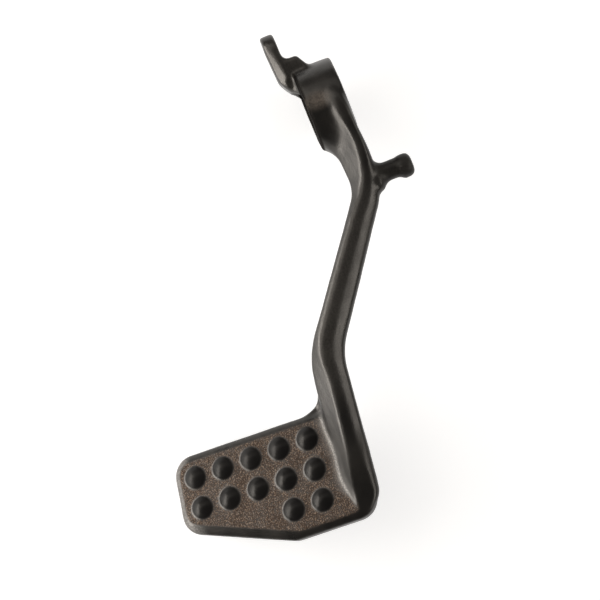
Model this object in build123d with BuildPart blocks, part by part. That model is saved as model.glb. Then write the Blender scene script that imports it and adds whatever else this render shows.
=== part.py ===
from build123d import *
import os
from math import cos, radians, sin

# Rear brake pedal of a motorcycle, in millimetres: one casting and the plain bush of its pivot.
# The origin is the middle of the pivot bore. +X points rearward, from the foot pad towards the
# master-cylinder lug, +Y points along the pivot to the machine's outer side, and +Z points up.

# Pivot hub and the bush pressed into it
hub_diameter = 34.5
hub_length = 16.2
hub_chamfer = 0.6
hub_face = 0.4
bush_bore = 18.0
bush_wall = 1.0
bush_recess = 0.6
bush_chamfer = 0.3

# Lug for the master-cylinder clevis: a plate beside the hub, on a thick root
lug_reach = 28.0
lug_thickness = 5.5
lug_gap = 2.0
lug_foot = 16.4
lug_foot_radius = 9.0
lug_bevel = 2.2
lug_heel = 20.5
eye_bore = 8.0
eye_wall = 4.0
root_reach = 23.2
root_depth = 14.0
root_overlap = 4.4
root_slope = 5.6
root_fillet = 1.6
root_round = 2.0

# Arm: a straight shank, a slanting middle, and a rib along the pad's inner side
shank_width = 12.0
bend_width = 11.7
elbow_width = 14.0
rib_width = 14.4
arm_depth = 13.0
arm_dip = 1.4
arm_crown = 4.4
arm_underside = 2.4
shank_length = 39.8
shank_drift = 1.2
shank_sink = 1.2
shank_heel = 22.0
upper_bend = 21.0
elbow_lead = 22.4
elbow_bend = 33.0
web_depth = 9.0
web_drop = 1.0

# Return-spring post on the arm's inner side
post_reach = 36.7
post_drop = 7.6
post_diameter = 8.3
post_length = 16.0
post_round = 2.0
post_head_diameter = 9.6
post_head_length = 5.6
post_boss_diameter = 11.4
post_boss_height = 3.0
post_boss_shift = 1.4

# Foot pad: a tilted plate, measured on its face from the middle row's second stud
pad_reach = 139.7
pad_offset = 74.4
pad_height = 4.6
pad_pitch = 18.8
pad_roll = 18.1
pad_yaw = 1.6
pad_thickness = 7.0
pad_near = 24.0
pad_far = 25.6
pad_outer = 51.0
pad_outer_near = 50.1
pad_inner = 36.6
pad_cut_outer = 7.7
pad_cut_far = 1.3
pad_corner = 9.0
pad_top_round = 2.6
pad_bottom_round = 1.2
pad_fork = 7.0
rib_inset = 5.8
rib_end = 9.4

# Studs on the pad: a square grid, with a stud wherever the flat of the face has room
stud_pitch = 13.4
stud_diameter = 9.8
stud_height = 2.5
stud_taper = 42.0
stud_tip = 2.2

# Places worked out from the sizes above
hub_radius = hub_diameter / 2
hub_end = hub_length / 2
hub_bore = bush_bore + 2 * bush_wall
hub_wall_middle = (hub_radius + hub_bore / 2) / 2
lug_inner = hub_end + lug_gap
lug_outer = lug_inner + lug_thickness
lug_toe = lug_foot - lug_foot_radius
eye_radius = eye_bore / 2 + eye_wall
root_inner = hub_end - root_overlap
shank_inner = hub_face - hub_end
shank_middle = shank_inner + shank_width / 2
shank_outer = shank_inner + shank_width
web_radius = hub_end - shank_outer
arm_top = hub_radius - shank_sink
elbow_top = hub_radius - arm_dip

# The pad's face: its x axis points away from the pivot and its y axis to the inner side
pitch = radians(pad_pitch)
roll = radians(pad_roll)
pad_face = Plane(
    origin=(-pad_reach, pad_offset, pad_height),
    x_dir=(-cos(pitch), sin(pitch) * sin(roll), sin(pitch) * cos(roll)),
    z_dir=(sin(pitch), cos(pitch) * sin(roll), cos(pitch) * cos(roll)),
).rotated((0, 0, -pad_yaw))
rib_line = pad_inner - rib_inset


def on_pad(away, inward):
    return pad_face.from_local_coords(Vector(away, inward, 0))


elbow = on_pad(-pad_near - elbow_lead, rib_line)
rib_tip = on_pad(pad_far - rib_end, rib_line)
rib_far = on_pad(pad_far, rib_line)
rib_outer = rib_line - rib_width / 2
fork = on_pad(-pad_near, rib_outer)
pad_free_edge = [
    (-pad_near, -pad_outer_near),
    (pad_cut_outer, -pad_outer),
    (pad_far, -pad_cut_far),
]

# Corners of the arm's middle line, seen from above, and its width at each of them
arm_corners = [
    Vector(0, shank_middle),
    Vector(-shank_length, shank_middle - shank_drift),
    Vector(elbow.X, elbow.Y),
    Vector(rib_tip.X, rib_tip.Y),
]
arm_widths = [shank_width, bend_width, elbow_width, rib_width]


def arm_side(sign):
    # The corners of one side of the arm, each set out on the line that halves the bend
    points = []
    for index, corner in enumerate(arm_corners):
        before = arm_corners[max(index - 1, 0)]
        after = arm_corners[min(index + 1, len(arm_corners) - 1)]
        steps = [corner - before, after - corner]
        directions = [step.normalized() for step in steps if step.length > 0]
        along = sum(directions, Vector()).normalized()
        outward = along.rotate(Axis.Z, -90 * sign) / along.dot(directions[0])
        points.append(corner + outward * arm_widths[index] / 2)
    return points


os.makedirs("parts", exist_ok=True)

# Arm: its outline from above, cut to its outline from the side, then rounded along its length
with BuildPart() as arm:
    with BuildSketch():
        with BuildLine():
            outer_bends = [upper_bend - bend_width / 2, elbow_bend + elbow_width / 2]
            inner_bends = [upper_bend + bend_width / 2, elbow_bend - elbow_width / 2]
            outer = FilletPolyline(*arm_side(1), radius=outer_bends)
            inner = FilletPolyline(*arm_side(-1), radius=inner_bends)
            Line(outer @ 0, inner @ 0)
            Line(outer @ 1, inner @ 1)
        make_face()
    extrude(amount=hub_diameter, both=True)
    with BuildSketch(Plane.XZ.offset(hub_length)):
        with BuildLine():
            top = ThreePointArc((0, arm_top), (elbow.X, elbow_top), (rib_far.X, rib_tip.Z))
            underside = Spline(
                (rib_far.X, rib_far.Z - pad_thickness),
                (fork.X, fork.Z - pad_thickness),
                (elbow.X, elbow_top - arm_depth),
                (-shank_length, hub_radius - arm_depth),
                (0, hub_radius - shank_heel),
            )
            Line(top @ 1, underside @ 0)
            Line(underside @ 1, top @ 0)
        make_face()
    extrude(amount=-hub_length - pad_offset, mode=Mode.INTERSECT)
    crown = arm.faces().filter_by(GeomType.CYLINDER).sort_by(SortBy.AREA)[-1]
    fillet(crown.edges().sort_by(Axis.X)[1:-1], radius=arm_crown)
    belly = arm.faces().filter_by(GeomType.EXTRUSION)[0]
    fillet(belly.edges().sort_by(Axis.X)[1:-1], radius=arm_underside)

# Where the middle of a stud may be: clear of the pad's rounded edges and of the rib
with BuildSketch() as stud_room:
    with BuildLine():
        Polyline((-pad_near, rib_outer), *pad_free_edge, (pad_far, rib_outer), close=True)
    make_face()
    offset(amount=-pad_top_round - stud_diameter / 2)
steps = range(-int(pad_outer // stud_pitch), int(pad_outer // stud_pitch) + 1)
stud_grid = [(row * stud_pitch, column * stud_pitch) for row in steps for column in steps]

# Foot pad: the plate with its rounded edges, and the studs on its face
with BuildPart() as foot_pad:
    with BuildSketch(pad_face):
        with BuildLine():
            Polyline((-pad_near, rib_line), *pad_free_edge, (pad_far, pad_inner), close=True)
        make_face()
        fillet(vertices().sort_by_distance((-pad_near, rib_line))[1:], radius=pad_corner)
    extrude(amount=-pad_thickness)
    broad = foot_pad.faces().sort_by(SortBy.AREA)[-2:].sort_by(Axis.Z)
    fillet(broad[1].edges(), radius=pad_top_round)
    broad = foot_pad.faces().sort_by(SortBy.AREA)[-2:].sort_by(Axis.Z)
    fillet(broad[0].edges(), radius=pad_bottom_round)
    with BuildSketch(pad_face):
        with Locations(*[place for place in stud_grid if stud_room.face().is_inside(place)]):
            Circle(stud_diameter / 2)
    extrude(amount=stud_height, taper=stud_taper)
    tips = foot_pad.faces(Select.LAST).filter_by(GeomType.PLANE).sort_by(SortBy.AREA)[:-1]
    fillet(tips.edges(), radius=stud_tip)

# Web that fills the corner between the pad's near edge and the arm
with BuildPart() as fork_web:
    with BuildSketch(Plane.XY.offset(fork.Z - pad_thickness / 2)):
        corners = [
            on_pad(away - pad_near, rib_outer + inward)
            for away, inward in (
                (-pad_fork, 0),
                (-pad_fork, rib_width / 2),
                (pad_fork, rib_width / 2),
                (pad_fork, -pad_fork),
                (0, -pad_fork),
            )
        ]
        outline = [(corner.X, corner.Y) for corner in corners]
        with BuildLine():
            Polyline(*outline)
            RadiusArc(outline[-1], outline[0], -pad_fork)
        make_face()
    extrude(amount=pad_thickness / 4, both=True)

# Pivot hub, with the web that fills its corner with the arm's outer side
with BuildPart() as hub:
    with BuildSketch(Plane.XZ):
        Circle(hub_radius)
    extrude(amount=hub_end, both=True)
    chamfer(hub.edges().filter_by(GeomType.CIRCLE), length=hub_chamfer)
    with BuildSketch(Plane.XY.offset(-web_drop)):
        with BuildLine():
            curve = RadiusArc(
                (-hub_radius, hub_end),
                (-hub_radius - web_radius, shank_outer),
                web_radius,
            )
            Polyline(curve @ 1, (-hub_radius - web_radius, 0), (0, 0), (0, hub_end), curve @ 0)
        make_face()
    extrude(amount=web_depth)

# Lug: the eye's plate, bevelled round its outer face and at its heel
with BuildPart() as lug:
    with BuildSketch(Plane.XZ.offset(-lug_inner)):
        with Locations((lug_reach, 0)):
            Circle(eye_radius)
        with Locations((lug_foot, 0)):
            Circle(lug_foot_radius)
        make_hull()
    extrude(amount=-lug_thickness)
    chamfer(lug.faces().sort_by(Axis.Y)[-1].edges(), length=lug_bevel)
    with BuildSketch():
        with BuildLine():
            Polyline((lug_heel, lug_outer), (lug_toe, lug_inner), (lug_toe, lug_outer), close=True)
        make_face()
    extrude(amount=lug_foot_radius, both=True, mode=Mode.SUBTRACT)

# Root of the lug, from the hub's rear wall out to the middle of the plate
with BuildPart() as lug_root:
    with BuildSketch():
        with BuildLine():
            Polyline(
                (lug_toe, lug_inner),
                (root_reach, lug_inner + lug_thickness / 2),
                (root_reach, root_inner),
                (hub_wall_middle, root_inner - root_slope),
                (lug_toe, root_inner - root_slope),
                close=True,
            )
        make_face()
        fillet(vertices().sort_by_distance((root_reach, root_inner))[0], radius=root_fillet)
    extrude(amount=root_depth / 2, both=True)
    ends = lug_root.faces().sort_by(Axis.Z)
    fillet(ends[0].edges() + ends[-1].edges(), radius=root_round)

# Spring post: a boss on the arm, the post and its thicker head
with BuildPart() as spring_post:
    post_foot = Plane(
        origin=(-post_reach, shank_middle, hub_radius - post_drop),
        x_dir=(1, 0, 0),
        z_dir=(0, -1, 0),
    )
    with BuildSketch(post_foot):
        Circle(post_diameter / 2)
    extrude(amount=shank_width / 2 + post_length)
    with BuildSketch(post_foot):
        with Locations((-post_boss_shift, 0)):
            Circle(post_boss_diameter / 2)
    extrude(amount=shank_width / 2 + post_boss_height)
    with BuildSketch(post_foot.offset(shank_width / 2 + post_length - post_head_length)):
        Circle(post_head_diameter / 2)
    extrude(amount=post_head_length)
    fillet(spring_post.faces().sort_by(Axis.Y)[0].edges(), radius=post_round)

# The casting: everything above as one solid, with the pivot and clevis holes through it
with BuildPart() as brake_pedal:
    add(arm.part)
    add(hub.part)
    add(lug.part)
    add(lug_root.part)
    add(spring_post.part)
    add(foot_pad.part)
    add(fork_web.part)
    with BuildSketch(Plane.XZ):
        Circle(hub_bore / 2)
    extrude(amount=lug_outer, both=True, mode=Mode.SUBTRACT)
    with BuildSketch(Plane.XZ):
        with Locations((lug_reach, 0)):
            Circle(eye_bore / 2)
    extrude(amount=-lug_outer, mode=Mode.SUBTRACT)
brake_pedal.part.label = "brake_pedal"
export_step(brake_pedal.part, "parts/brake_pedal.step")

# Pivot bush: a plain sleeve in the hub, set back a little from both of its ends
with BuildPart() as pivot_bush:
    with BuildSketch(Plane.XZ):
        Circle(hub_bore / 2)
        Circle(bush_bore / 2, mode=Mode.SUBTRACT)
    extrude(amount=hub_end - bush_recess, both=True)
    chamfer(pivot_bush.edges().filter_by(GeomType.CIRCLE), length=bush_chamfer)
pivot_bush.part.label = "pivot_bush"
export_step(pivot_bush.part, "parts/pivot_bush.step")
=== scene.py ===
import math

import bpy
import numpy as np
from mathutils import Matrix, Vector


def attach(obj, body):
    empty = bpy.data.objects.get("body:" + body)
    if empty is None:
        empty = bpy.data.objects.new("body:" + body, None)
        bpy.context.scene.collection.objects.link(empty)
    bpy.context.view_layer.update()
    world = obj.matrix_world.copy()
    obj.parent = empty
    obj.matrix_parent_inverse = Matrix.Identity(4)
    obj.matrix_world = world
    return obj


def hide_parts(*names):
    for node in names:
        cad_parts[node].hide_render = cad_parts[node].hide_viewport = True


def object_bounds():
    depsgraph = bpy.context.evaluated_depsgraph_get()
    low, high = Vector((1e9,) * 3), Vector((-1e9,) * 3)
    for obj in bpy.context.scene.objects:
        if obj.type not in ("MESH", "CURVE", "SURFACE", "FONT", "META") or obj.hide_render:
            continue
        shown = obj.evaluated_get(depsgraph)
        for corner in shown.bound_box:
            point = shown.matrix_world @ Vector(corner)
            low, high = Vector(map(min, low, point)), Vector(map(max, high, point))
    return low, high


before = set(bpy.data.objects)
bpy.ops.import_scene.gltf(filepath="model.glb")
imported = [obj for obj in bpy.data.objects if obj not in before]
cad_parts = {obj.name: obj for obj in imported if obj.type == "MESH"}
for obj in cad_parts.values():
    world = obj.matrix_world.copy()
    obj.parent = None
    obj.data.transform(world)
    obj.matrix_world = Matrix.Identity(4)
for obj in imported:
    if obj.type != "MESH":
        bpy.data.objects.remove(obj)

import openvdb
from mathutils import Vector

cadLow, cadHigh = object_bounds()
mm = 0.001
print("frame: nodes", sorted(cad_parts))


# shape helpers: every form below is worked out in millimetres in the part's own frame

def unit(vectors):
    return vectors / np.linalg.norm(vectors, axis=-1, keepdims=True)


def eased(values, low, high):
    # smooth step: 0 below low, 1 above high, three t squared less two t cubed between
    t = np.clip((values - low) / (high - low), 0, 1)
    return t * t * (3 - 2 * t)


sideShare = 0.98  # of a polygon's side that the arcs at its two ends may take up together


def cornerArcs(before, corner, after, radii, steps, shares=(sideShare / 2, sideShare / 2)):
    # each corner becomes a circular arc: a quadratic curve from one tangent point to the other, its middle
    # weight the sine of half the corner's angle; the arc shrinks where its share of a side is too short
    toBefore, toAfter = before - corner, after - corner
    lengthBefore = np.linalg.norm(toBefore, axis=-1)
    lengthAfter = np.linalg.norm(toAfter, axis=-1)
    toBefore, toAfter = unit(toBefore), unit(toAfter)
    half = np.arccos(np.clip((toBefore * toAfter).sum(-1), -0.9999, 0.9999)) / 2
    room = np.minimum(shares[0] * lengthBefore, shares[1] * lengthAfter)
    reach = np.minimum(radii / np.tan(half), room)
    start = (corner + toBefore * reach[..., None])[..., None, :]
    end = (corner + toAfter * reach[..., None])[..., None, :]
    t = np.linspace(0, 1, steps)[:, None]
    weight = np.sin(half)[..., None, None]
    top = (1 - t) ** 2 * start + 2 * t * (1 - t) * weight * corner[..., None, :] + t ** 2 * end
    return top / ((1 - t) ** 2 + 2 * t * (1 - t) * weight + t ** 2)


def roundedOutline(corners, radii, steps):
    # a closed polygon, or a whole stack of them, with every corner rounded; the two arcs on a side share it
    # in proportion to their radii
    shares = [sideShare * radii / (radii + np.roll(radii, turn, -1)) for turn in (1, -1)]
    arcs = cornerArcs(np.roll(corners, 1, -2), corners, np.roll(corners, -1, -2), radii, steps, shares)
    return arcs.reshape(arcs.shape[:-3] + (-1, arcs.shape[-1]))


def insetCorners(corners, insets):
    # a polygon moved inwards, each edge by its own inset: a corner goes along either edge by the other edge's
    # inset over the sine of the corner's angle
    toBefore = unit(np.roll(corners, 1, -2) - corners)
    toAfter = unit(np.roll(corners, -1, -2) - corners)
    sine = np.sqrt(1 - (toBefore * toAfter).sum(-1) ** 2)
    edgeBefore = np.roll(insets, 1, -1)
    return corners + toAfter * (edgeBefore / sine)[..., None] + toBefore * (insets / sine)[..., None]


def closedSkin(rings):
    # rings of points become a closed surface: quads between the rings, a fan to the middle at either end
    rows, columns = rings.shape[:2]
    points = np.concatenate([rings.reshape(-1, 3), rings[:1].mean(1), rings[-1:].mean(1)])
    index = np.arange(rows * columns).reshape(rows, columns)
    following = np.roll(index, -1, axis=1)
    quads = np.stack([index[:-1], following[:-1], following[1:], index[1:]], -1).reshape(-1, 4)
    first = np.stack([following[0], index[0], np.full(columns, rows * columns)], -1)
    last = np.stack([index[-1], following[-1], np.full(columns, rows * columns + 1)], -1)
    return points, np.concatenate([first, last]), quads


def together(*skins):
    # several closed surfaces in one list of points, triangles and quads
    starts = np.cumsum([0] + [len(skin[0]) for skin in skins[:-1]])
    points = np.concatenate([skin[0] for skin in skins])
    triangles = np.concatenate([skin[1] + start for skin, start in zip(skins, starts)])
    quads = np.concatenate([skin[2] + start for skin, start in zip(skins, starts)])
    return points, triangles, quads


def turned(profile, origin, axis, side, columns):
    # a solid of revolution: the profile's (along, radius) pairs carried round the axis
    profile = np.asarray(profile, float)
    origin, axis, side = (np.asarray(v, float) for v in (origin, axis, side))
    angle = np.linspace(0, 2 * np.pi, columns, endpoint=False)
    spoke = np.cos(angle)[:, None] * side + np.sin(angle)[:, None] * np.cross(axis, side)
    rings = origin + profile[:, 0, None, None] * axis + profile[:, 1, None, None] * spoke
    return closedSkin(rings)


# foot pad: a plate with rolled edges on a tilted plane, its edge profile carried round the outline
padShape = {
    "origin": (-139.7, 74.4, 4.6),
    "away": (-0.9463, 0.1266, 0.2975),  # on the face, away from the pivot
    "inward": (-0.0264, -0.9473, 0.3191),  # on the face, to the machine's side
    "outline": [(-23.5, 30.8), (-24.1, -50.0), (7.8, -51.4), (25.9, -3.0), (25.6, 36.4)],
    "rollWidths": [4.3, 3.6, 4.2, 3.4, 8.6],  # how far in the upper edge rolls, from each corner to the next
    "rollDrop": 2.3,
    "rollFlatness": [1.45, 1.45, 1.9, 1.45, 1.45],  # 1 is an ellipse, 2 a plain bevel
    "corner": 9.0,
    "leastCorner": 0.6,  # radius left where the roll takes up the corner
    "thickness": 7.0,
    "bottomRoll": (1.6, 1.6),
    "rings": (12.0, 8.0),  # insets of the inmost ring below, and above from the roll's end
    "steps": (9, 14),  # rings of a roll and points of a corner
}
padOrigin = np.array(padShape["origin"])
padAway = unit(np.array(padShape["away"]))
padInward = np.array(padShape["inward"])
padInward = unit(padInward - padAway * (padInward @ padAway))
padUp = np.cross(padAway, padInward)


def onPad(local):
    return padOrigin + local[..., :1] * padAway + local[..., 1:2] * padInward + local[..., 2:] * padUp


def padSkin(shape):
    # at each height of the roll every edge is inset by its width times one less the root of one less a power
    # of the height's share, the powers set by its flatness
    rollSteps, cornerSteps = shape["steps"]
    ringBelow, ringAbove = shape["rings"]
    turn = np.linspace(0, np.pi / 2, rollSteps)
    flatness = np.array(shape["rollFlatness"])
    rise = np.sin(turn)
    bottomIn, bottomUp = shape["bottomRoll"]
    widths = np.array(shape["rollWidths"])
    insets = np.concatenate([
        np.full((1, len(widths)), ringBelow),
        np.outer(bottomIn * (1 - np.sin(turn)), np.ones(len(widths))),
        widths * (1 - np.clip(1 - rise[:, None] ** (2 / flatness), 0, 1) ** (flatness / 2)),
        widths[None] + ringAbove,
    ])
    heights = np.concatenate([
        [-shape["thickness"]],
        bottomUp * (1 - np.cos(turn)) - shape["thickness"],
        shape["rollDrop"] * (rise - 1),
        [0],
    ])
    corners = np.array(shape["outline"], float)[None].repeat(len(insets), 0)
    corners = insetCorners(corners, insets)
    radii = np.maximum(shape["corner"] - (insets + np.roll(insets, 1, 1)) / 2, shape["leastCorner"])
    flat = roundedOutline(corners, radii, cornerSteps)
    local = np.concatenate([flat, np.broadcast_to(heights[:, None, None], flat.shape[:2] + (1,))], -1)
    return closedSkin(onPad(local))


# studs: pointed buttons, a cone with a rounded tip turned about each place of the grid
studShape = {
    "pitch": 13.4,
    "rows": {-1: (1, 0, -1, -2, -3), 0: (1, 0, -1, -2, -3), 1: (1, 0)},
    "radius": 4.9,
    "height": 2.5,
    "shoulder": 0.55,  # height of the steep foot of the cone
    "shoulderPower": 6,  # how squarely the shoulder turns
    "tip": 1.8,  # radius of the rounded point
    "sunk": 2.0,  # how far the foot starts below the face
    "steps": (22, 48),  # rings from foot to point and points of a ring
}
studPlaces = [(row, column) for row, columns in studShape["rows"].items() for column in columns]
studPlaces = np.array(studPlaces, float) * studShape["pitch"]


def studSkins(shape):
    # radius runs from the foot to the point; height falls off as a cone, rounded at its tip and its shoulder
    ringCount, columns = shape["steps"]
    share = np.linspace(1, 0, ringCount)
    tip = shape["tip"] / shape["radius"]
    cone = 1 - (np.sqrt(share ** 2 + tip ** 2) - tip) / (math.sqrt(1 + tip ** 2) - tip)
    shoulder = shape["shoulder"] * np.sqrt(np.clip(1 - share ** shape["shoulderPower"], 0, 1))
    height = shoulder + (shape["height"] - shape["shoulder"]) * cone
    profile = np.stack([height, shape["radius"] * share], -1)
    profile = np.concatenate([[(-shape["sunk"], shape["radius"])], profile[:-1]])
    places = np.concatenate([studPlaces, np.zeros((len(studPlaces), 1))], 1)
    return [turned(profile, origin, padUp, padAway, columns) for origin in onPad(places)]


# arm: a six-cornered section carried along the middle line from the hub to the pad's far corner
armShape = {
    "corners": [(12, -1.4), (-39.8, -2.9), (-96.61, 39.35), (-163.2, 47.55)],
    "bends": [21.0, 33.0],
    "spacing": 0.8,
    "easing": 9.0,  # millimetres of path over which the section changes
    "endRound": 8.5,  # plan radius of the inner corner at the far end
    "footShare": 0.88,  # how wide the underside is, as a share of the half widths
    "outerRound": 2.0,
    "underRound": 2.4,
    "steps": (40, 9),  # points of a bend and of a section's corner
    # at each station's x: half widths, heights, drops below the crest, roundings, and where the ridge and the
    # inner corner lie as shares of the half widths
    "station": [12, 5, 0, -5, -10, -16, -22, -31, -40, -48,
                -70, -88, -96, -104, -114, -124, -136, -146, -153, -160],
    "outerHalf": [5, 5.8, 6, 6, 6, 6.1, 6.4, 6.5, 6.1, 5.85,
                  6.15, 6.3, 6.9, 7.7, 7.9, 7.4, 7.1, 8.4, 8.8, 8.4],
    "innerHalf": [5, 5.8, 6, 6, 5.85, 5.75, 6.3, 6.3, 5.9, 6.0,
                  6.65, 6.9, 7.2, 7.2, 7.1, 7.05, 7.2, 7.3, 7.2, 7.0],
    "crest": [11, 18.2, 20.4, 20.8, 20.5, 19.8, 18.7, 16.6, 15.7, 15.4,
              15.4, 15.6, 15.9, 16.1, 16.6, 17.3, 18.6, 20.1, 20.6, 20.3],
    "ridge": [0.1, 0.05, 0, -0.1, -0.2, -0.3, -0.34, -0.1, 0.46, 0.62,
              0.64, 0.64, 0.52, 0.18, 0.17, 0.23, 0.29, 0.38, 0.40, 0.39],
    "ridgeDrop": [0, 0, 0, 0.2, 0.5, 0.7, 0.8, 0.5, 0.2, 0, 0, 0, 0, 0, 0, 0, 0, 0, 0, 0],
    "ridgeRound": [5, 5, 3.4, 2.6, 2.8, 3.2, 3.6, 3.8, 4.5, 5.2,
                   5.5, 5.5, 5, 4, 3.6, 3.2, 2.2, 1.2, 0.8, 0.8],
    "outerDrop": [4, 5, 6.4, 7.4, 9.4, 11.2, 12, 9.2, 4.8, 3,
                  2.7, 2.8, 4.6, 7.5, 7.9, 7.9, 7.9, 7, 6.6, 6.6],
    "inner": [-0.5, -0.6, -0.7, -0.8, -0.85, -0.86, -0.86, -0.66, -0.25, -0.08,
              -0.05, -0.08, -0.16, -0.30, -0.32, -0.34, -0.40, -0.55, -0.68, -0.74],
    "innerRound": [3, 3, 2.4, 2, 1.8, 1.6, 1.6, 3, 6, 7,
                   7.3, 7.3, 7.8, 8.2, 8.2, 8, 6.8, 5, 3.6, 3.4],
    "innerDrop": [1.8, 1.8, 1.8, 1.8, 1.8, 1.8, 1.8, 2, 2.6, 2.9,
                  2.9, 2.9, 2.7, 2.5, 2.4, 2.4, 2.4, 2.3, 2.2, 2.2],
    "innerEdge": [2.6, 2.6, 2.6, 2.6, 2.6, 2.6, 2.6, 3, 4, 4.4,
                  4.4, 4.4, 4.2, 3.4, 3, 3, 3, 2.8, 2.6, 2.6],
    "underside": [-6, -5.5, -4.8, -3.8, -2.4, -0.6, 1.3, 3.4, 4.3, 4.5,
                  4.2, 3.4, 2.8, 1.2, -1, -1.3, 2.8, 6.8, 9.8, 13.0],
}


def armSkin(shape):
    # the middle line with its bends rounded, then at each place of it a section of six rounded corners
    bendSteps, cornerSteps = shape["steps"]
    corners = np.array(shape["corners"], float)
    arcs = cornerArcs(corners[:-2], corners[1:-1], corners[2:], np.array(shape["bends"]), bendSteps)
    line = np.concatenate([corners[:1], arcs.reshape(-1, 2), corners[-1:]])
    run = np.concatenate([[0], np.cumsum(np.linalg.norm(np.diff(line, axis=0), axis=1))])
    places = np.arange(0, run[-1], shape["spacing"])
    middle = np.stack([np.interp(places, run, line[:, axis]) for axis in (0, 1)], -1)
    along = unit(np.gradient(middle, axis=0))
    outward = np.stack([along[:, 1], -along[:, 0]], -1)
    window = np.hanning(int(shape["easing"] / shape["spacing"]) * 2 + 3)
    window /= window.sum()
    margin = len(window) // 2

    def follow(name):
        # a listed value at every place of the path, by the station's x, then eased along the path
        values = np.interp(-middle[:, 0], -np.array(shape["station"], float), shape[name])
        return np.convolve(np.pad(values, margin, mode="edge"), window, mode="valid")

    outer, innerSide = follow("outerHalf"), follow("innerHalf")
    fromEnd = np.clip(shape["endRound"] - (run[-1] - places), 0, None)
    innerSide = innerSide - shape["endRound"] + np.sqrt(shape["endRound"] ** 2 - fromEnd ** 2)
    crest = follow("crest")
    underside = follow("underside")
    ridge, inner = follow("ridge") * outer, follow("inner") * innerSide
    ones, footShare = np.ones_like(outer), shape["footShare"]
    lateral = np.stack([footShare * outer, outer, ridge, inner, -innerSide, -footShare * innerSide], -1)
    height = np.stack([underside, crest - follow("outerDrop"), crest - follow("ridgeDrop"), crest,
                       crest - follow("innerDrop"), underside], -1)
    under = shape["underRound"] * ones
    radii = np.stack([under, shape["outerRound"] * ones, follow("ridgeRound"), follow("innerRound"),
                      follow("innerEdge"), under], -1)
    section = roundedOutline(np.stack([lateral, height], -1), radii, cornerSteps)
    flat = middle[:, None, :] + section[..., :1] * outward[:, None, :]
    return closedSkin(np.concatenate([flat, section[..., 1:]], -1))


# pivot hub: a slightly barrelled boss turned about the pivot
hubShape = {
    "radius": 18.1,
    "inner": -8.4,
    "outer": 8.5,
    "edge": 0.35,
    "barrel": 0.25,
    "bore": 10.0,
    "core": 4.0,  # radius of the end rings, inside the bore
    "steps": (25, 120),  # rings along the pivot and points of a ring
}


def hubSkin(shape):
    # the radius falls by the barrel's rise times the square of the share of the way to either end
    inner, outer, edge, core = (shape[name] for name in ("inner", "outer", "edge", "core"))
    ringCount, columns = shape["steps"]
    radius = shape["radius"] - shape["barrel"] * np.linspace(-1, 1, ringCount) ** 2
    profile = np.stack([np.linspace(inner + edge, outer - edge, ringCount), radius], -1)
    start = [(inner, core), (inner, radius[0] - edge)]
    finish = [(outer, radius[0] - edge), (outer, core)]
    return turned(np.concatenate([start, profile, finish]), (0, 0, 0), (0, 1, 0), (1, 0, 0), columns)


# clevis lug: a bevelled plate round two circles, thinner towards its foot, and the root that carries it
lugShape = {
    "eye": (28.0, 8.0),  # place and radius of the eye's end
    "foot": (16.4, 9.0),
    "inner": 10.1,
    "outer": 15.9,
    # the bevel's width and the plate's share of its thickness, each at listed distances from the pivot
    "bevel": ([8, 13, 16.5, 20, 25, 30, 35], [0.6, 2.2, 4.4, 4.4, 3.4, 2.0, 0.4]),
    "heel": ([6.5, 8.8, 12, 15.1, 20.6, 24], [0.06, 0.24, 0.6, 0.86, 0.99, 1]),
    "bevelDrop": 0.76,  # the bevel's depth for each millimetre of its width
    # rings across the plate as offset and inset: from the inner face, the bevel's start and its upper edge
    "innerRim": [(0, 5), (0, 0.9), (0.25, 0.3), (0.8, 0)],
    "bevelRim": [(-0.3, 0), (0.2, 0.25)],
    "outerRim": [(-0.35, -0.2), (0, 0.3)],
    "outerRing": 5.5,  # inset of the last ring, on the outer face
    "eyeBore": 4.0,
    "eyeSide": 20,  # the eye's hole cuts only beyond this distance from the pivot
    "columns": 120,
}
rootShape = {
    "outline": [(7.4, 10.1), (23.2, 12.85), (23.2, 4.3), (13.6, -1.0), (7.4, -1.0)],
    "rounds": [1.0, 1.2, 1.5, 2.0, 1.0],
    "leastRound": 0.4,  # radius left where the roll takes up the corner
    "depth": 16.6,
    "roll": 1.6,
    "ring": 4.0,  # inset of the inmost ring
    "steps": (7, 6),  # rings of a roll and points of a corner
}


def lugSkin(shape):
    # the outline is the hull of two circles: at each angle the point of the circle that lies further out
    angle = np.linspace(0, 2 * np.pi, shape["columns"], endpoint=False)
    (eyeX, eyeRadius), (footX, footRadius) = shape["eye"], shape["foot"]
    onEye = eyeX * np.cos(angle) + eyeRadius > footX * np.cos(angle) + footRadius
    thick = shape["outer"] - shape["inner"]
    plainRadius = np.where(onEye, eyeRadius, footRadius)
    plainX = np.where(onEye, eyeX, footX)
    bevel = np.interp(plainX + plainRadius * np.cos(angle), *shape["bevel"])
    flat, drop = np.zeros_like(bevel), bevel * shape["bevelDrop"]
    rims = [(flat, flat, shape["innerRim"]), (thick - bevel, flat, shape["bevelRim"]),
            (flat + thick, drop, shape["outerRim"]), (flat + thick, flat, [(0, shape["outerRing"])])]
    across = np.stack([start + offset for start, _, rings in rims for offset, _ in rings])
    insets = np.stack([edge + inset for _, edge, rings in rims for _, inset in rings])
    radius = plainRadius - insets
    x = plainX + radius * np.cos(angle)
    z = radius * np.sin(angle)
    share = np.interp(x, *shape["heel"])
    return closedSkin(np.stack([x, shape["inner"] + across * share, z], -1))


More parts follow.
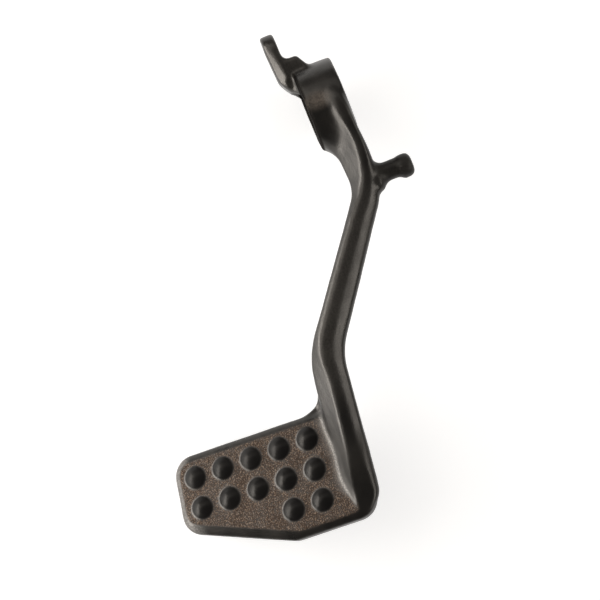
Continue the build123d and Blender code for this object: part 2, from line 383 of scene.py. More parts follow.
def rootSkin(shape):
    # the outline seen from above, carried up with its upper and lower rim rolled in
    rollSteps, cornerSteps = shape["steps"]
    turn = np.linspace(0, np.pi / 2, rollSteps)
    roll, ring, depth = shape["roll"], [shape["ring"]], shape["depth"] / 2
    rollIn, rollOut = roll * (1 - np.sin(turn)), roll * (1 - np.cos(turn))
    insets = np.concatenate([ring, rollIn, rollOut, ring])
    heights = np.concatenate([[-depth], rollOut - depth, depth - rollIn, [depth]])
    insets = insets[:, None].repeat(len(shape["outline"]), 1)
    corners = insetCorners(np.array(shape["outline"], float)[None].repeat(len(insets), 0), insets)
    radii = np.maximum(np.array(shape["rounds"])[None] - insets, shape["leastRound"])
    flat = roundedOutline(corners, radii, cornerSteps)
    tall = np.broadcast_to(heights[:, None, None], flat.shape[:2] + (1,))
    return closedSkin(np.concatenate([flat, tall], -1))


# spring post: a boss on the arm, a neck and a rounded head, each turned about a line across the arm
postShape = {
    "reach": -36.7,
    "foot": -1.7,
    "height": 9.65,
    "neck": (4.15, 0.55),  # radius, and how far the neck sits off the head's middle
    "head": (5.1, 5.6, 2.7),  # radius, length and rounding
    "boss": (5.4, 2.2, -1.1),  # radius, height above the arm's side and shift
    "headEase": 0.7,  # chamfer behind the head
    "armHalf": 6.0,
    "length": 15.98,
    "core": 1.0,  # radius of the end rings
    "steps": (8, 48),  # rings of a rounding and points of a ring
}


def postSkins(shape):
    # head and boss end in a quarter circle; the neck is plain
    roundSteps, columns = shape["steps"]
    core, ease = shape["core"], shape["headEase"]
    turn = np.linspace(0, np.pi / 2, roundSteps)
    headRadius, headLength, headRound = shape["head"]
    end = shape["armHalf"] + shape["length"]
    rounding = np.stack([1 - np.sin(turn), 1 - np.cos(turn)], -1)
    headFoot = end - headLength
    head = np.concatenate([
        [(headFoot, core), (headFoot, headRadius - ease), (headFoot + ease, headRadius)],
        (end, headRadius) - headRound * rounding,
        [(end, core)],
    ])
    neckRadius, neckShift = shape["neck"]
    neck = [(0, neckRadius), (end - core, neckRadius)]
    bossRadius, bossHeight, bossShift = shape["boss"]
    top = shape["armHalf"] + bossHeight
    boss = np.concatenate([[(0, bossRadius)], (top, bossRadius) - bossHeight * rounding, [(top, core)]])
    across, side = (0, -1, 0), (1, 0, 0)
    place = np.array([shape["reach"], shape["foot"], shape["height"]])
    return [
        turned(head, place, across, side, columns),
        turned(neck, place + (neckShift, 0, 0), across, side, columns),
        turned(boss, place + (bossShift, 0, 0), across, side, columns),
    ]


# casting: the forms are melted into one skin on a distance grid, where a ball rolled along each hollow
# leaves a fillet: grow the skin by the ball's radius, measure again, and shrink it by the same
castShape = {
    "voxel": 0.5,
    "meshStep": 0.535,
    "margin": 12.0,  # room round the part in the block of distances
    "bodyFillet": 3.0,
    "broad": [  # radius, plan place, and the distances and heights of full and of no effect
        (12.0, (-115.0, 49.0), (9.0, 18.0), (1.0, 4.5)),
        (12.0, (-17.0, 7.0), (6.0, 14.0), (30.0, 40.0)),
    ],
    "postFillet": 3.2,
    "lugFillet": 2.0,
    "rearFillet": 2.6,
    "allFillet": 0.8,
    "boreEdge": 0.5,
    "boreClear": 1.0,  # how far round the bore the skin stays true
    "spare": 4,  # voxels measured beyond a fillet's radius
    "narrowBand": 4.0,  # how far from a small form its distances are measured
    "wideBand": 6.0,
    "meshTrim": 2,  # cells of the mesh's grid left off at the block's sides
    "settle": (4, 0.3),  # passes that move points onto the skin, and the most in one
    "bendPasses": 3,
    "wave": 0.035,  # unevenness of the cast skin, in millimetres
    "waves": [  # its weights, and the directions and shifts of two sines each
        (1.0, (0.31, 0.17, 0.23), 0.0, (-0.13, 0.29, 0.37), 1.3),
        (0.6, (0.71, -0.53, 0.41), 0.7, (0.37, 0.67, -0.59), 0.0),
    ],
}
voxel, spare = castShape["voxel"], castShape["spare"] * castShape["voxel"]
voxelSpace = openvdb.createLinearTransform(voxelSize=voxel)
low = np.floor((np.array(cadLow) / mm - castShape["margin"]) / voxel).astype(int)
high = np.ceil((np.array(cadHigh) / mm + castShape["margin"]) / voxel).astype(int)
blockShape = tuple(int(n) for n in high - low)
blockStart = tuple(int(n) for n in low)


def distanceGrid(skin, band):
    points, triangles, quads = skin
    return openvdb.FloatGrid.createLevelSetFromPolygons(
        np.ascontiguousarray(points, dtype=np.float32),
        triangles=np.ascontiguousarray(triangles, dtype=np.uint32),
        quads=np.ascontiguousarray(quads, dtype=np.uint32),
        transform=voxelSpace,
        halfWidth=band / voxel,
    )


def asBlock(grid):
    block = np.empty(blockShape, np.float32)
    grid.copyToArray(block, ijk=blockStart)
    return block


def asGrid(block):
    grid = openvdb.FloatGrid(float(block.max()))
    grid.copyFromArray(block, ijk=blockStart)
    grid.transform = voxelSpace
    grid.gridClass = openvdb.GridClass.LEVEL_SET
    return grid


def filleted(grid, radius):
    # grow by the ball's radius, measure again from there, and shrink back
    grown = grid.convertToPolygons(isovalue=radius)
    return asBlock(distanceGrid(grown, radius + spare)) + radius


def sampled(block, points):
    # the block's value at points, by the eight voxels round each
    place = points / voxel - np.array(blockStart)
    cell = np.clip(np.floor(place).astype(int), 0, np.array(blockShape) - 2)
    share = place - cell
    total = 0
    for corner in range(8):
        step = np.array([corner >> 2 & 1, corner >> 1 & 1, corner & 1])
        weight = np.prod(np.where(step, share, 1 - share), axis=1)
        i, j, k = (cell + step).T
        total = total + weight * block[i, j, k]
    return total


def softened(block):
    # one pass of the weights 1, 2, 1 along each axis
    for axis in range(3):
        block = (np.roll(block, 1, axis) + 2 * block + np.roll(block, -1, axis)) / 4
    return block


arm, pad, hub = armSkin(armShape), padSkin(padShape), hubSkin(hubShape)
lug, root = lugSkin(lugShape), rootSkin(rootShape)
posts, studs = postSkins(postShape), studSkins(studShape)
print("forms: arm", len(arm[0]), "pad", len(pad[0]), "hub", len(hub[0]), "studs", len(studs))

axisX, axisY, axisZ = (
    ((np.arange(blockShape[axis]) + blockStart[axis]) * voxel).astype(np.float32) for axis in range(3))
widest = max(radius for radius, *_ in castShape["broad"]) + spare
rough = distanceGrid(together(arm, pad, hub), widest)
body = filleted(rough, castShape["bodyFillet"])
for broadRadius, (broadX, broadY), planLimits, heightLimits in castShape["broad"]:
    broadBody = filleted(rough, broadRadius)
    away = np.hypot(axisX[:, None] - broadX, axisY[None, :] - broadY)
    share = (1 - eased(away, *planLimits))[:, :, None] * (1 - eased(axisZ, *heightLimits))[None, None, :]
    share = share.astype(np.float32)
    body = np.minimum(body, body * (1 - share) + broadBody * share)
del broadBody
print("casting: body filleted")

narrow, wide = castShape["narrowBand"], castShape["wideBand"]
postBlock = asBlock(distanceGrid(together(*posts), narrow))
postBody = filleted(asGrid(np.minimum(body, postBlock)), castShape["postFillet"])
lugBody = filleted(distanceGrid(together(lug, root), wide), castShape["lugFillet"])
rearBody = filleted(distanceGrid(together(hub, root), wide), castShape["rearFillet"])
studBlock = asBlock(distanceGrid(together(*studs), narrow))
whole = np.minimum.reduce([postBody, lugBody, rearBody, studBlock])
del postBlock, postBody, lugBody, rearBody, studBlock, body
whole = filleted(asGrid(whole), castShape["allFillet"])


def bored(block, x, radius, edge):
    # a round hole along y: the larger of the skin's distance and the hole's, with the rim eased
    hole = radius - np.sqrt((axisX[:, None, None] - x) ** 2 + axisZ[None, None, :] ** 2)
    rim = np.clip(edge - np.abs(block - hole), 0, None)
    return np.maximum(block, hole) + rim ** 2 / (4 * edge)


whole = bored(whole, 0, hubShape["bore"], castShape["boreEdge"])
eyeSide = axisX > lugShape["eyeSide"]
whole[eyeSide] = bored(whole, lugShape["eye"][0], lugShape["eyeBore"], castShape["boreEdge"])[eyeSide]
whole = softened(whole)
print("casting: forms melted together")

# the skin's mesh: quads from a coarser copy of the distances, every point then moved onto the true skin
step, trim = castShape["meshStep"], castShape["meshTrim"]
meshLow = np.floor(low * voxel / step).astype(int) + trim
meshHigh = np.ceil(high * voxel / step).astype(int) - trim
meshAxes = [np.arange(meshLow[axis], meshHigh[axis]) * step for axis in range(3)]
coarse = np.stack(np.meshgrid(*meshAxes, indexing="ij"), -1).reshape(-1, 3)
coarse = sampled(whole, coarse).reshape([len(line) for line in meshAxes]).astype(np.float32)
meshGrid = openvdb.FloatGrid(float(coarse.max()))
meshGrid.copyFromArray(coarse, ijk=tuple(int(n) for n in meshLow))
meshGrid.transform = openvdb.createLinearTransform(voxelSize=step)
points, quads = meshGrid.convertToQuads(isovalue=0)
points = points.astype(float)
slope = [softened(part.astype(np.float32)) for part in np.gradient(whole, voxel)]
settlePasses, settleMost = castShape["settle"]
for turn in range(settlePasses):
    normal = unit(np.stack([sampled(part, points) for part in slope], -1))
    points = points - np.clip(sampled(whole, points), -settleMost, settleMost)[:, None] * normal

# bend is how sharply the skin turns, above nought on edges; the wave is a sum of products of two sines
bend = sum(np.gradient(slope[axis], voxel, axis=axis) for axis in range(3))
for turn in range(castShape["bendPasses"]):
    bend = softened(bend)
bend = sampled(bend, points)
wave = 0
for weight, first, firstShift, second, secondShift in castShape["waves"]:
    swell = np.sin(points @ np.array(first) + firstShift) * np.sin(points @ np.array(second) + secondShift)
    wave = wave + weight * swell
nearBore = np.hypot(points[:, 0], points[:, 2]) < hubShape["bore"] + castShape["boreClear"]
points = points + normal * (castShape["wave"] * wave * ~nearBore)[:, None]

a, b, c, d = (points[quads[:, corner]] for corner in range(4))
if (np.cross(c - a, d - b) * (a + b + c + d)).sum() < 0:
    quads = quads[:, ::-1]
castingMesh = bpy.data.meshes.new("brake_pedal_casting")
castingMesh.vertices.add(len(points))
castingMesh.vertices.foreach_set("co", (points * mm).astype(np.float32).ravel())
castingMesh.loops.add(quads.size)
castingMesh.loops.foreach_set("vertex_index", np.ascontiguousarray(quads, dtype=np.int32).ravel())
castingMesh.polygons.add(len(quads))
castingMesh.polygons.foreach_set("loop_start", np.arange(0, quads.size, 4, dtype=np.int32))
castingMesh.polygons.foreach_set("use_smooth", np.ones(len(quads), bool))
castingMesh.update(calc_edges=True)
print("casting mesh:", len(points), "points", 2 * len(quads), "triangles")


def keepValue(mesh, name, values):
    mesh.attributes.new(name, "FLOAT", "POINT").data.foreach_set("value", values.astype(np.float32))


# masks that the finish reads, each eased between two limits: millimetres, the cosine of a slope, or a bend
maskShape = {
    "face": {"edge": (-2.0, -0.4), "turn": (0.93, 0.985), "middle": 0.3, "height": (-1.6, -0.7)},
    "stud": {"edge": (-0.5, 0.1), "height": (0.1, 0.5)},
    "flank": {"turn": 0.85, "inward": 18, "height": (1, 0.6), "span": (-24, 26), "none": 40.0},
    "besideArm": {"away": (0.5, 6.5), "past": (-4, -2), "turn": (0.6, 0.9), "start": (-24, -17),
                  "end": (12, 19), "low": (-0.9, -0.3), "high": (0.4, 1.5), "inward": (27, 29),
                  "bare": 0.8, "hollow": 0.5},
    "outerEdge": {"bend": (0.25, 1.0)},
    "valley": {"bend": (0.08, 0.30), "reach": (108, 122), "start": (-27, -19)},
    "scuff": {"rim": (0.15, 0.5), "face": (0.9, 0.97), "side": (40, 46), "height": (-4, -3)},
    "crestStainAndHighlight": {"place": (1.6, 3.4, 17.8), "size": (4.6, 6.5, 4.0), "edge": (0.15, 1.2)},
    "paintedTopSheen": {"start": (30, 48), "end": (96, 126), "rear": (5, 13), "rearShare": 0.6, "turn": (0.6, 0.9)},
    "hubFace": {"inner": (7.4, 8.0), "outer": (8.8, 9.3), "radius": (18.2, 18.8)},
    "post": {"side": (7.4, 9.4), "share": 0.4},
    "sheltered": {"bend": (0.12, 0.40), "reach": (100, 112), "share": 0.5},
    "ribEnd": {"reach": (126, 150), "inward": (22, 26), "height": (1.5, 3.0), "share": 0.55},
}
fromPad = points - padOrigin
padPlace = np.stack([fromPad @ padAway, fromPad @ padInward, fromPad @ padUp], -1)
padX, padY, padZ = padPlace.T
padTurn, toPad = normal @ padUp, -points[:, 0]
outline = np.array(padShape["outline"])
edgeLine = unit(np.roll(outline, -1, 0) - outline)
fromEdge = np.stack([edgeLine[:, 1], -edgeLine[:, 0]], -1)
inside = np.einsum("pec,ec->pe", padPlace[:, None, :2] - outline[None], fromEdge)
inside = inside * np.sign(inside[np.argmin(np.linalg.norm(padPlace, axis=1))])
inside = (inside - np.array(padShape["rollWidths"])).min(1)
limits = maskShape["face"]
facing = eased(inside, *limits["edge"]) * eased(padTurn, *limits["turn"])
facing = facing * eased(-np.abs(padZ - limits["middle"]), *limits["height"])
limits = maskShape["stud"]
studAway = np.linalg.norm(padPlace[:, None, :2] - studPlaces[None], axis=2).min(1)
onStud = (1 - eased(studAway - studShape["radius"], *limits["edge"])) * eased(padZ, *limits["height"])

# dust thins out towards the arm: in each millimetre of the pad's length its flank starts where the skin first
# turns up from the face
limits = maskShape["flank"]
flankHeight, heightRoom = limits["height"]
flank = (padTurn < limits["turn"]) & (padY > limits["inward"]) & (np.abs(padZ - flankHeight) < heightRoom)
footX = np.arange(limits["span"][0], limits["span"][1] + 1)
footY = np.full(len(footX), limits["none"])
nearest = np.clip(np.round(padX[flank]).astype(int) - footX[0], 0, len(footX) - 1)
np.minimum.at(footY, nearest, padY[flank])
footAway = np.interp(padX, footX, footY) - padY
limits = maskShape["besideArm"]
besideArm = (1 - eased(footAway, *limits["away"])) * eased(footAway, *limits["past"])
besideArm = besideArm * eased(padX, *limits["start"]) * (1 - eased(padX, *limits["end"]))
besideArm = besideArm * eased(padZ, *limits["low"]) * (1 - eased(padZ, *limits["high"]))
besideArm = besideArm * eased(padTurn, *limits["turn"]) * (1 - eased(padY, *limits["inward"]))
facing = facing * (1 - limits["bare"] * besideArm)
keepValue(castingMesh, "padFace", facing * (1 - onStud))
keepValue(castingMesh, "stud", onStud)
keepValue(castingMesh, "outerEdge", eased(bend, *maskShape["outerEdge"]["bend"]))
# the valley beside the rib: light dust, partly a painted highlight of the concave fillet
valley = maskShape["valley"]
inValley = eased(-bend, *valley["bend"]) * eased(toPad, *valley["reach"]) * eased(padX, *valley["start"])
keepValue(castingMesh, "hollow", np.maximum(inValley, limits["hollow"] * besideArm) * (1 - onStud))

# wear, shelter and painted light: the scuffed pad end, the crest's stain and painted highlight, the painted
# sheen on the arm's tops, what stays dull
limits = maskShape["scuff"]
rim = eased(padTurn, *limits["rim"]) * (1 - eased(padTurn, *limits["face"]))
keepValue(castingMesh, "scuff", rim * eased(-padY, *limits["side"]) * eased(padZ, *limits["height"]))
# the crest's patch: a light brown stain, partly a painted highlight where the hub's crest meets the arm's
# ridge
limits = maskShape["crestStainAndHighlight"]
crestAway = np.linalg.norm((points - np.array(limits["place"])) / np.array(limits["size"]), axis=1)
keepValue(castingMesh, "crestStainAndHighlight", 1 - eased(crestAway, *limits["edge"]))
# painted sheen: the upward-facing tops of the mid arm and the hub's rear are made lighter, standing in for
# their reflection of the light above
limits = maskShape["paintedTopSheen"]
midArm = eased(toPad, *limits["start"]) * (1 - eased(toPad, *limits["end"]))
rear = limits["rearShare"] * eased(points[:, 0], *limits["rear"])
keepValue(castingMesh, "paintedTopSheen", (midArm + rear) * eased(normal[:, 2], *limits["turn"]))
limits = maskShape["hubFace"]
hubFace = eased(points[:, 1], *limits["inner"]) * (1 - eased(points[:, 1], *limits["outer"]))
hubFace = hubFace * (1 - eased(np.hypot(points[:, 0], points[:, 2]), *limits["radius"]))
limits = maskShape["post"]
onPost = limits["share"] * eased(-points[:, 1], *limits["side"])
limits = maskShape["sheltered"]
sheltered = limits["share"] * eased(-bend, *limits["bend"]) * (1 - eased(toPad, *limits["reach"]))
limits = maskShape["ribEnd"]
ribEnd = eased(toPad, *limits["reach"]) * eased(padY, *limits["inward"]) * eased(padZ, *limits["height"])
keepValue(castingMesh, "dull", np.maximum.reduce([hubFace, onPost, sheltered, limits["share"] * ribEnd]))
print("masks: face, studs, edges, hollows and wear")

casting = bpy.data.objects.new("brake_pedal_casting", castingMesh)
bpy.context.scene.collection.objects.link(casting)
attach(casting, "root")
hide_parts("brake_pedal")


# finishes

def addNode(tree, kind, **settings):
    node = tree.nodes.new(kind)
    for name, value in settings.items():
        setattr(node, name, value)
    return node


def feed(tree, source, node, socket):
    # source is a node's output socket or a plain value
    if isinstance(source, bpy.types.NodeSocket):
        tree.links.new(source, node.inputs[socket])
    else:
        node.inputs[socket].default_value = source


def reckon(tree, operation, first, second=0.0, third=0.0, clamp=False):
    node = addNode(tree, "ShaderNodeMath", operation=operation, use_clamp=clamp)
    for index, source in enumerate((first, second, third)):
        feed(tree, source, node, index)
    return node.outputs[0]


def mixColour(tree, share, first, second):
    node = addNode(tree, "ShaderNodeMix", data_type="RGBA")
    feed(tree, share, node, 0)
    feed(tree, first, node, 6)
    feed(tree, second, node, 7)
    return node.outputs[2]


def spread(tree, value, fromLow, fromHigh, toLow=0.0, toHigh=1.0):
    node = addNode(tree, "ShaderNodeMapRange", interpolation_type="SMOOTHSTEP")
    for index, source in enumerate((value, fromLow, fromHigh, toLow, toHigh)):
        feed(tree, source, node, index)
    return node.outputs[0]


def newGroup(name, inputs, outputs):
    group = bpy.data.node_groups.new(name, "ShaderNodeTree")
    for socket, kind in inputs:
        group.interface.new_socket(socket, in_out="INPUT", socket_type=kind)
    for socket, kind in outputs:
        group.interface.new_socket(socket, in_out="OUTPUT", socket_type=kind)
    return group, addNode(group, "NodeGroupInput"), addNode(group, "NodeGroupOutput")


def noise(tree, vector, size, detail, roughness=0.5):
    # size is the noise's grain in metres
    scaled = addNode(tree, "ShaderNodeVectorMath", operation="SCALE")
    feed(tree, vector, scaled, 0)
    feed(tree, reckon(tree, "DIVIDE", 1.0, size), scaled, "Scale")
    node = addNode(tree, "ShaderNodeTexNoise", noise_dimensions="3D")
    feed(tree, scaled.outputs[0], node, "Vector")
    node.inputs["Scale"].default_value = 1.0
    node.inputs["Detail"].default_value = detail
    node.inputs["Roughness"].default_value = roughness
    return node.outputs["Fac"]


# grain: a fine tooth for bump, broad patches for tone and small flecks
grainShape = {
    "detail": (2.0, 3.0, 1.0),  # of the tooth, the patches and the flecks
    "patchLimits": (0.3, 0.7),
    "fleckLimits": (0.5, 0.68),
}
toothDetail, patchDetail, fleckDetail = grainShape["detail"]
grainGroup, grainIn, grainOut = newGroup(
    "grain",
    [("Vector", "NodeSocketVector"), ("Tooth Size", "NodeSocketFloat"), ("Patch Size", "NodeSocketFloat"),
     ("Fleck Size", "NodeSocketFloat")],
    [("Tooth", "NodeSocketFloat"), ("Patches", "NodeSocketFloat"), ("Flecks", "NodeSocketFloat")])
tooth = noise(grainGroup, grainIn.outputs["Vector"], grainIn.outputs["Tooth Size"], toothDetail)
patches = noise(grainGroup, grainIn.outputs["Vector"], grainIn.outputs["Patch Size"], patchDetail)
flecks = noise(grainGroup, grainIn.outputs["Vector"], grainIn.outputs["Fleck Size"], fleckDetail)
feed(grainGroup, tooth, grainOut, "Tooth")
feed(grainGroup, spread(grainGroup, patches, *grainShape["patchLimits"]), grainOut, "Patches")
feed(grainGroup, spread(grainGroup, flecks, *grainShape["fleckLimits"]), grainOut, "Flecks")

# rub: where handling has worn an edge, broken up by the patches
rubShape = {"break": (0.25, 0.85, 0.25, 1.0)}
rubGroup, rubIn, rubOut = newGroup(
    "rub",
    [("Edge", "NodeSocketFloat"), ("Patches", "NodeSocketFloat"), ("Amount", "NodeSocketFloat")],
    [("Mask", "NodeSocketFloat")])
broken = spread(rubGroup, rubIn.outputs["Patches"], *rubShape["break"])
worn = reckon(rubGroup, "MULTIPLY", rubIn.outputs["Edge"], broken)
feed(rubGroup, reckon(rubGroup, "MULTIPLY", worn, rubIn.outputs["Amount"], clamp=True), rubOut, "Mask")


def newMaterial(name):
    material = bpy.data.materials.new(name)
    material.use_nodes = True
    tree = material.node_tree
    shader = tree.nodes["Principled BSDF"]
    place = addNode(tree, "ShaderNodeTexCoord").outputs["Object"]
    return material, tree, shader, place


def useGroup(tree, group, **values):
    node = addNode(tree, "ShaderNodeGroup", node_tree=group)
    for name, value in values.items():
        feed(tree, value, node, name)
    return node.outputs


def readValue(tree, name):
    return addNode(tree, "ShaderNodeAttribute", attribute_name=name).outputs["Fac"]


# coated casting: black coat with a fine tooth, rubbed lighter on edges, dusty between the studs
coatFinish = {
    "deep": (0.0036, 0.0031, 0.0027, 1),
    "faded": (0.0084, 0.0070, 0.0057, 1),
    "rubbed": (0.050, 0.046, 0.042, 1),
    "dust": (0.040, 0.0252, 0.0174, 1),
    "dustFleck": (0.225, 0.157, 0.110, 1),
    # light dust in the valley beside the rib, partly a painted highlight
    "valleyDustAndHighlight": (0.30, 0.275, 0.255, 1),
    "scuffed": (0.20, 0.190, 0.180, 1),
    # light brown crest stain, partly a painted highlight
    "crestStainAndHighlight": (0.20, 0.166, 0.136, 1),
    # painted sheen: the lighter colour of the arm's upward-facing tops
    "paintedTopSheen": (0.034, 0.0310, 0.0270, 1),
    "studCoat": (0.0062, 0.0056, 0.0054, 1),
    "toothSize": 0.00070,
    "patchSize": 0.011,
    "fleckSize": 0.00050,
    "roughness": 0.32,
    "dustRoughness": 0.74,
    "studRoughness": 0.36,
    "ior": 1.52,
    "sheen": (1.0, 0.955, 0.895, 1),
    "sheenLevel": 0.5,
    "studSheen": 0.36,  # share of that level on the studs
    "dullSheen": 0.05,  # share of it where the coat is dull
    "dustSheen": 0.32,  # what dust takes from it
    "dullRoughness": 0.4,  # what dullness adds to the roughness
    "patchRoughness": (0.10, -0.05),  # what the patches add, and the start
    "bump": 0.00006,
    "bumpShare": (0.6, 1.4),  # of the bump everywhere, and what the pad's face adds
    "studBump": 0.3,  # share of the bump on the studs
    "rubAmount": 0.55,
    "scuffAmount": 1.0,
    # how the tooth breaks up a mask: its own limits, then the shares that it leaves
    "paintedTopSheenBreak": (0.3, 0.7, 0.35, 1.0),
    "crestStainAndHighlightBreak": (0.3, 0.7, 0.3, 0.6),
    "valleyBreak": (0.35, 0.65, 0.2, 0.9),
    "dustBreak": (0.36, 0.68, 0.25, 1.0),
    "dustPatches": 0.10,  # what the patches add to the tooth for the dust
    "fleckShare": 0.7,
}
coat, tree, shader, place = newMaterial("coated_casting")
grain = useGroup(tree, grainGroup, Vector=place, **{
    "Tooth Size": coatFinish["toothSize"], "Patch Size": coatFinish["patchSize"],
    "Fleck Size": coatFinish["fleckSize"]})
tooth, patches = grain["Tooth"], grain["Patches"]
padFace, studMask = readValue(tree, "padFace"), readValue(tree, "stud")
edgeMask, hollowMask = readValue(tree, "outerEdge"), readValue(tree, "hollow")
scuffMask, crestStainAndHighlightMask = readValue(tree, "scuff"), readValue(tree, "crestStainAndHighlight")
paintedTopSheenMask, dullMask = readValue(tree, "paintedTopSheen"), readValue(tree, "dull")
rubbed = useGroup(tree, rubGroup, Edge=edgeMask, Patches=patches, Amount=coatFinish["rubAmount"])["Mask"]
scuffed = useGroup(tree, rubGroup, Edge=scuffMask, Patches=tooth, Amount=coatFinish["scuffAmount"])["Mask"]
# painted sheen on the upward-facing tops, broken up by the tooth
paintedTopSheen = reckon(tree, "MULTIPLY", paintedTopSheenMask, spread(tree, tooth, *coatFinish["paintedTopSheenBreak"]))
# crest stain and painted highlight, broken up by the tooth
crestStainAndHighlight = reckon(tree, "MULTIPLY", crestStainAndHighlightMask, spread(tree, tooth, *coatFinish["crestStainAndHighlightBreak"]))
# valley dust and painted highlight, broken up by the tooth
valleyShare = reckon(tree, "MULTIPLY", hollowMask, spread(tree, tooth, *coatFinish["valleyBreak"]))
dustShare = reckon(tree, "MULTIPLY_ADD", patches, coatFinish["dustPatches"], tooth)
dustShare = reckon(tree, "MULTIPLY", spread(tree, dustShare, *coatFinish["dustBreak"]), padFace)
fleckShare = reckon(tree, "MULTIPLY", padFace, coatFinish["fleckShare"])
fleckShare = reckon(tree, "MULTIPLY", grain["Flecks"], fleckShare)

# colour: each layer covers those before it by its own share
colour = mixColour(tree, patches, coatFinish["deep"], coatFinish["faded"])
layers = {
    "paintedTopSheen": paintedTopSheen, "rubbed": rubbed, "crestStainAndHighlight": crestStainAndHighlight, "scuffed": scuffed, "valleyDustAndHighlight": valleyShare,
    "dust": dustShare, "dustFleck": fleckShare, "studCoat": studMask,
}
for name, share in layers.items():
    colour = mixColour(tree, share, colour, coatFinish[name])
feed(tree, colour, shader, "Base Color")

# roughness and sheen: dust and dullness roughen the coat and take its sheen
plainRoughness = coatFinish["roughness"]
patchShare, patchStart = coatFinish["patchRoughness"]
roughness = reckon(tree, "MULTIPLY_ADD", patches, patchShare, plainRoughness + patchStart)
roughness = reckon(tree, "MULTIPLY_ADD", dustShare, coatFinish["dustRoughness"] - plainRoughness, roughness)
roughness = reckon(tree, "MULTIPLY_ADD", studMask, coatFinish["studRoughness"] - plainRoughness, roughness)
roughness = reckon(tree, "MULTIPLY_ADD", dullMask, coatFinish["dullRoughness"], roughness, clamp=True)
feed(tree, roughness, shader, "Roughness")
level = reckon(tree, "MULTIPLY_ADD", dustShare, -coatFinish["dustSheen"], coatFinish["sheenLevel"])
for mask, share in ((dullMask, coatFinish["dullSheen"]), (studMask, coatFinish["studSheen"])):
    level = reckon(tree, "MULTIPLY", level, reckon(tree, "MULTIPLY_ADD", mask, share - 1, 1.0))
feed(tree, level, shader, "Specular IOR Level")
shader.inputs["Specular Tint"].default_value = coatFinish["sheen"]
shader.inputs["IOR"].default_value = coatFinish["ior"]
bumpNode = addNode(tree, "ShaderNodeBump")
bumpNode.inputs["Distance"].default_value = coatFinish["bump"]
bumpPlain, bumpFace = coatFinish["bumpShare"]
bumpShare = reckon(tree, "MULTIPLY_ADD", padFace, bumpFace, bumpPlain)
studShare = reckon(tree, "MULTIPLY_ADD", studMask, coatFinish["studBump"] - 1, 1.0)
bumpShare = reckon(tree, "MULTIPLY", bumpShare, studShare)
feed(tree, reckon(tree, "MULTIPLY", tooth, bumpShare), bumpNode, "Height")
feed(tree, bumpNode.outputs[0], shader, "Normal")
castingMesh.materials.append(coat)

# bush: turned bronze, its fine tool marks running round the bore
bronzeFinish = {
    "bright": (0.22, 0.165, 0.095, 1),
    "dull": (0.085, 0.062, 0.036, 1),
    "toothSize": 0.0006,
    "patchSize": 0.004,
    "fleckSize": 0.0005,
    "turning": 0.00035,  # from one tool mark to the next
    "filmAmount": 0.6,
    "roughness": 0.44,
    "patchRoughness": (0.16, -0.06),
    "bump": 0.00001,
}
bronze, tree, shader, place = newMaterial("turned_bronze")
grain = useGroup(tree, grainGroup, Vector=place, **{
    "Tooth Size": bronzeFinish["toothSize"], "Patch Size": bronzeFinish["patchSize"],
    "Fleck Size": bronzeFinish["fleckSize"]})
apart = addNode(tree, "ShaderNodeSeparateXYZ")
feed(tree, place, apart, 0)
ridges = reckon(tree, "MULTIPLY", apart.outputs["Y"], 2 * math.pi / bronzeFinish["turning"])
ridges = reckon(tree, "SINE", ridges)
film = useGroup(tree, rubGroup, Edge=grain["Flecks"], Patches=grain["Patches"],
                Amount=bronzeFinish["filmAmount"])["Mask"]
colour = mixColour(tree, grain["Patches"], bronzeFinish["bright"], bronzeFinish["dull"])
feed(tree, mixColour(tree, film, colour, bronzeFinish["dull"]), shader, "Base Color")
patchShare, patchStart = bronzeFinish["patchRoughness"]
roughness = reckon(tree, "MULTIPLY_ADD", grain["Patches"], patchShare, bronzeFinish["roughness"] + patchStart)
feed(tree, roughness, shader, "Roughness")
shader.inputs["Metallic"].default_value = 1.0
bumpNode = addNode(tree, "ShaderNodeBump")
bumpNode.inputs["Distance"].default_value = bronzeFinish["bump"]
feed(tree, reckon(tree, "ADD", ridges, grain["Tooth"]), bumpNode, "Height")
feed(tree, bumpNode.outputs[0], shader, "Normal")
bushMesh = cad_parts["pivot_bush"].data
bushMesh.materials.clear()
bushMesh.materials.append(bronze)
print("finishes: coat and bronze")

# stage: a pale floor just under the part, white to the camera and still taking the part's shadow
stageShape = {"size": 60.0, "gap": 0.0001, "tone": (0.80, 0.80, 0.80, 1), "glow": 0.55}
floorZ = cadLow[2] - stageShape["gap"]
line = np.linspace(-0.5, 0.5, 3) * stageShape["size"]
gridX, gridY = np.meshgrid(line, line, indexing="ij")
floorPoints = np.stack([gridX, gridY, np.full_like(gridX, floorZ)], -1).reshape(-1, 3)
floorFaces = [(3 * i + j, 3 * i + 3 + j, 3 * i + 4 + j, 3 * i + 1 + j) for i in range(2) for j in range(2)]
floorMesh = bpy.data.meshes.new("floor")
floorMesh.from_pydata(floorPoints.tolist(), [], floorFaces)
floor = bpy.data.objects.new("floor", floorMesh)
bpy.context.scene.collection.objects.link(floor)
paper = bpy.data.materials.new("floor_paper")
paper.use_nodes = True
tree = paper.node_tree
tree.nodes.clear()
matte = addNode(tree, "ShaderNodeBsdfDiffuse")
matte.inputs["Color"].default_value = stageShape["tone"]
lightPath = addNode(tree, "ShaderNodeLightPath")
seen = reckon(tree, "ADD", lightPath.outputs["Is Camera Ray"], lightPath.outputs["Is Glossy Ray"])
seen = reckon(tree, "ADD", seen, lightPath.outputs["Is Transmission Ray"], clamp=True)
glow = addNode(tree, "ShaderNodeEmission")
feed(tree, reckon(tree, "MULTIPLY", seen, stageShape["glow"]), glow, "Strength")
both = addNode(tree, "ShaderNodeAddShader")
tree.links.new(matte.outputs[0], both.inputs[0])
tree.links.new(glow.outputs[0], both.inputs[1])
tree.links.new(both.outputs[0], addNode(tree, "ShaderNodeOutputMaterial").inputs["Surface"])
floorMesh.materials.append(paper)

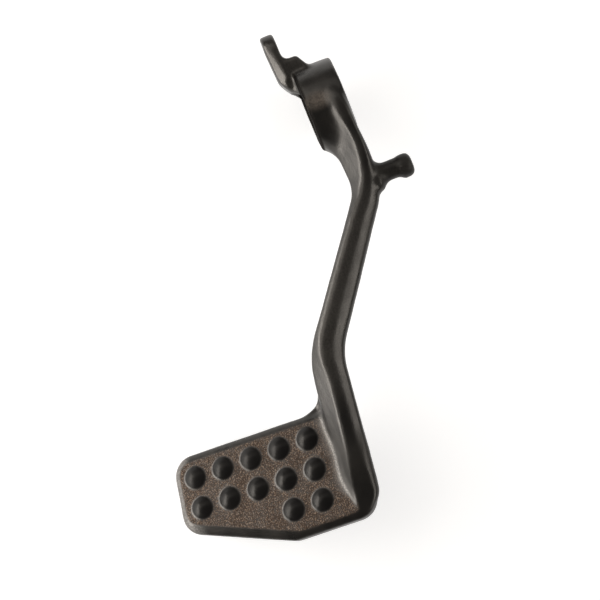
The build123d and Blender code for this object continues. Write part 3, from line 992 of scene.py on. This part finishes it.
# camera: straight down, turned 22 degrees, at the photograph's angle
cameraShape = {
    "place": (-72.317, 41.042, 900.0),
    "turn": -112.0,
    "lens": 128.33,
    "sensor": 36.0,
    "clip": (0.01, 100.0),
}
cameraData = bpy.data.cameras.new("camera")
cameraData.lens = cameraShape["lens"]
cameraData.sensor_width = cameraShape["sensor"]
cameraData.clip_start, cameraData.clip_end = cameraShape["clip"]
camera = bpy.data.objects.new("camera", cameraData)
camera.location = [value * mm for value in cameraShape["place"]]
camera.rotation_euler = (0, 0, math.radians(cameraShape["turn"]))
bpy.context.scene.collection.objects.link(camera)
bpy.context.scene.camera = camera

# lights: a low window close by on the picture's left, a high one beyond it, softer panels right and behind
pictureLeft = np.array([0.3746, 0.9272, 0.0])
pictureUp = np.array([0.9272, -0.3746, 0.0])
lightCentre = np.array([-0.075, 0.045, 0.0])
lightTint = (1.0, 0.965, 0.925)
panels = {
    # bearing is degrees from the picture's left towards its top; rise is degrees above the floor
    "window_low": {"bearing": -9, "rise": 10, "away": 0.36, "width": 0.43, "height": 0.14, "radiance": 9.0},
    "window_high": {"bearing": 25, "rise": 41, "away": 1.3, "width": 1.5, "height": 0.95, "radiance": 1.5},
    "right_panel": {"bearing": 180, "rise": 36, "away": 1.3, "width": 1.5, "height": 0.40, "radiance": 3.5},
    "rear_panel": {"bearing": 90, "rise": 42, "away": 1.4, "width": 1.2, "height": 0.60, "radiance": 0.6},
}
for name, panel in panels.items():
    bearing, rise = math.radians(panel["bearing"]), math.radians(panel["rise"])
    heading = pictureLeft * math.cos(bearing) + pictureUp * math.sin(bearing)
    heading = heading * math.cos(rise) + np.array([0, 0, math.sin(rise)])
    lightData = bpy.data.lights.new(name, "AREA")
    lightData.shape = "RECTANGLE"
    lightData.size, lightData.size_y = panel["width"], panel["height"]
    lightData.color = lightTint
    lightData.energy = panel["radiance"] * math.pi * panel["width"] * panel["height"]
    light = bpy.data.objects.new(name, lightData)
    light.location = lightCentre + heading * panel["away"]
    light.rotation_euler = Vector(-heading).to_track_quat("-Z", "Y").to_euler()
    light.visible_camera = False
    bpy.context.scene.collection.objects.link(light)

worldShape = {"tone": (1.0, 0.98, 0.95, 1), "strength": 0.16}
world = bpy.data.worlds.new("studio")
world.use_nodes = True
background = world.node_tree.nodes["Background"]
background.inputs["Color"].default_value = worldShape["tone"]
background.inputs["Strength"].default_value = worldShape["strength"]
bpy.context.scene.world = world
bpy.context.scene.view_settings.view_transform = "Standard"
print("stage: floor, camera and", len(panels), "panels")
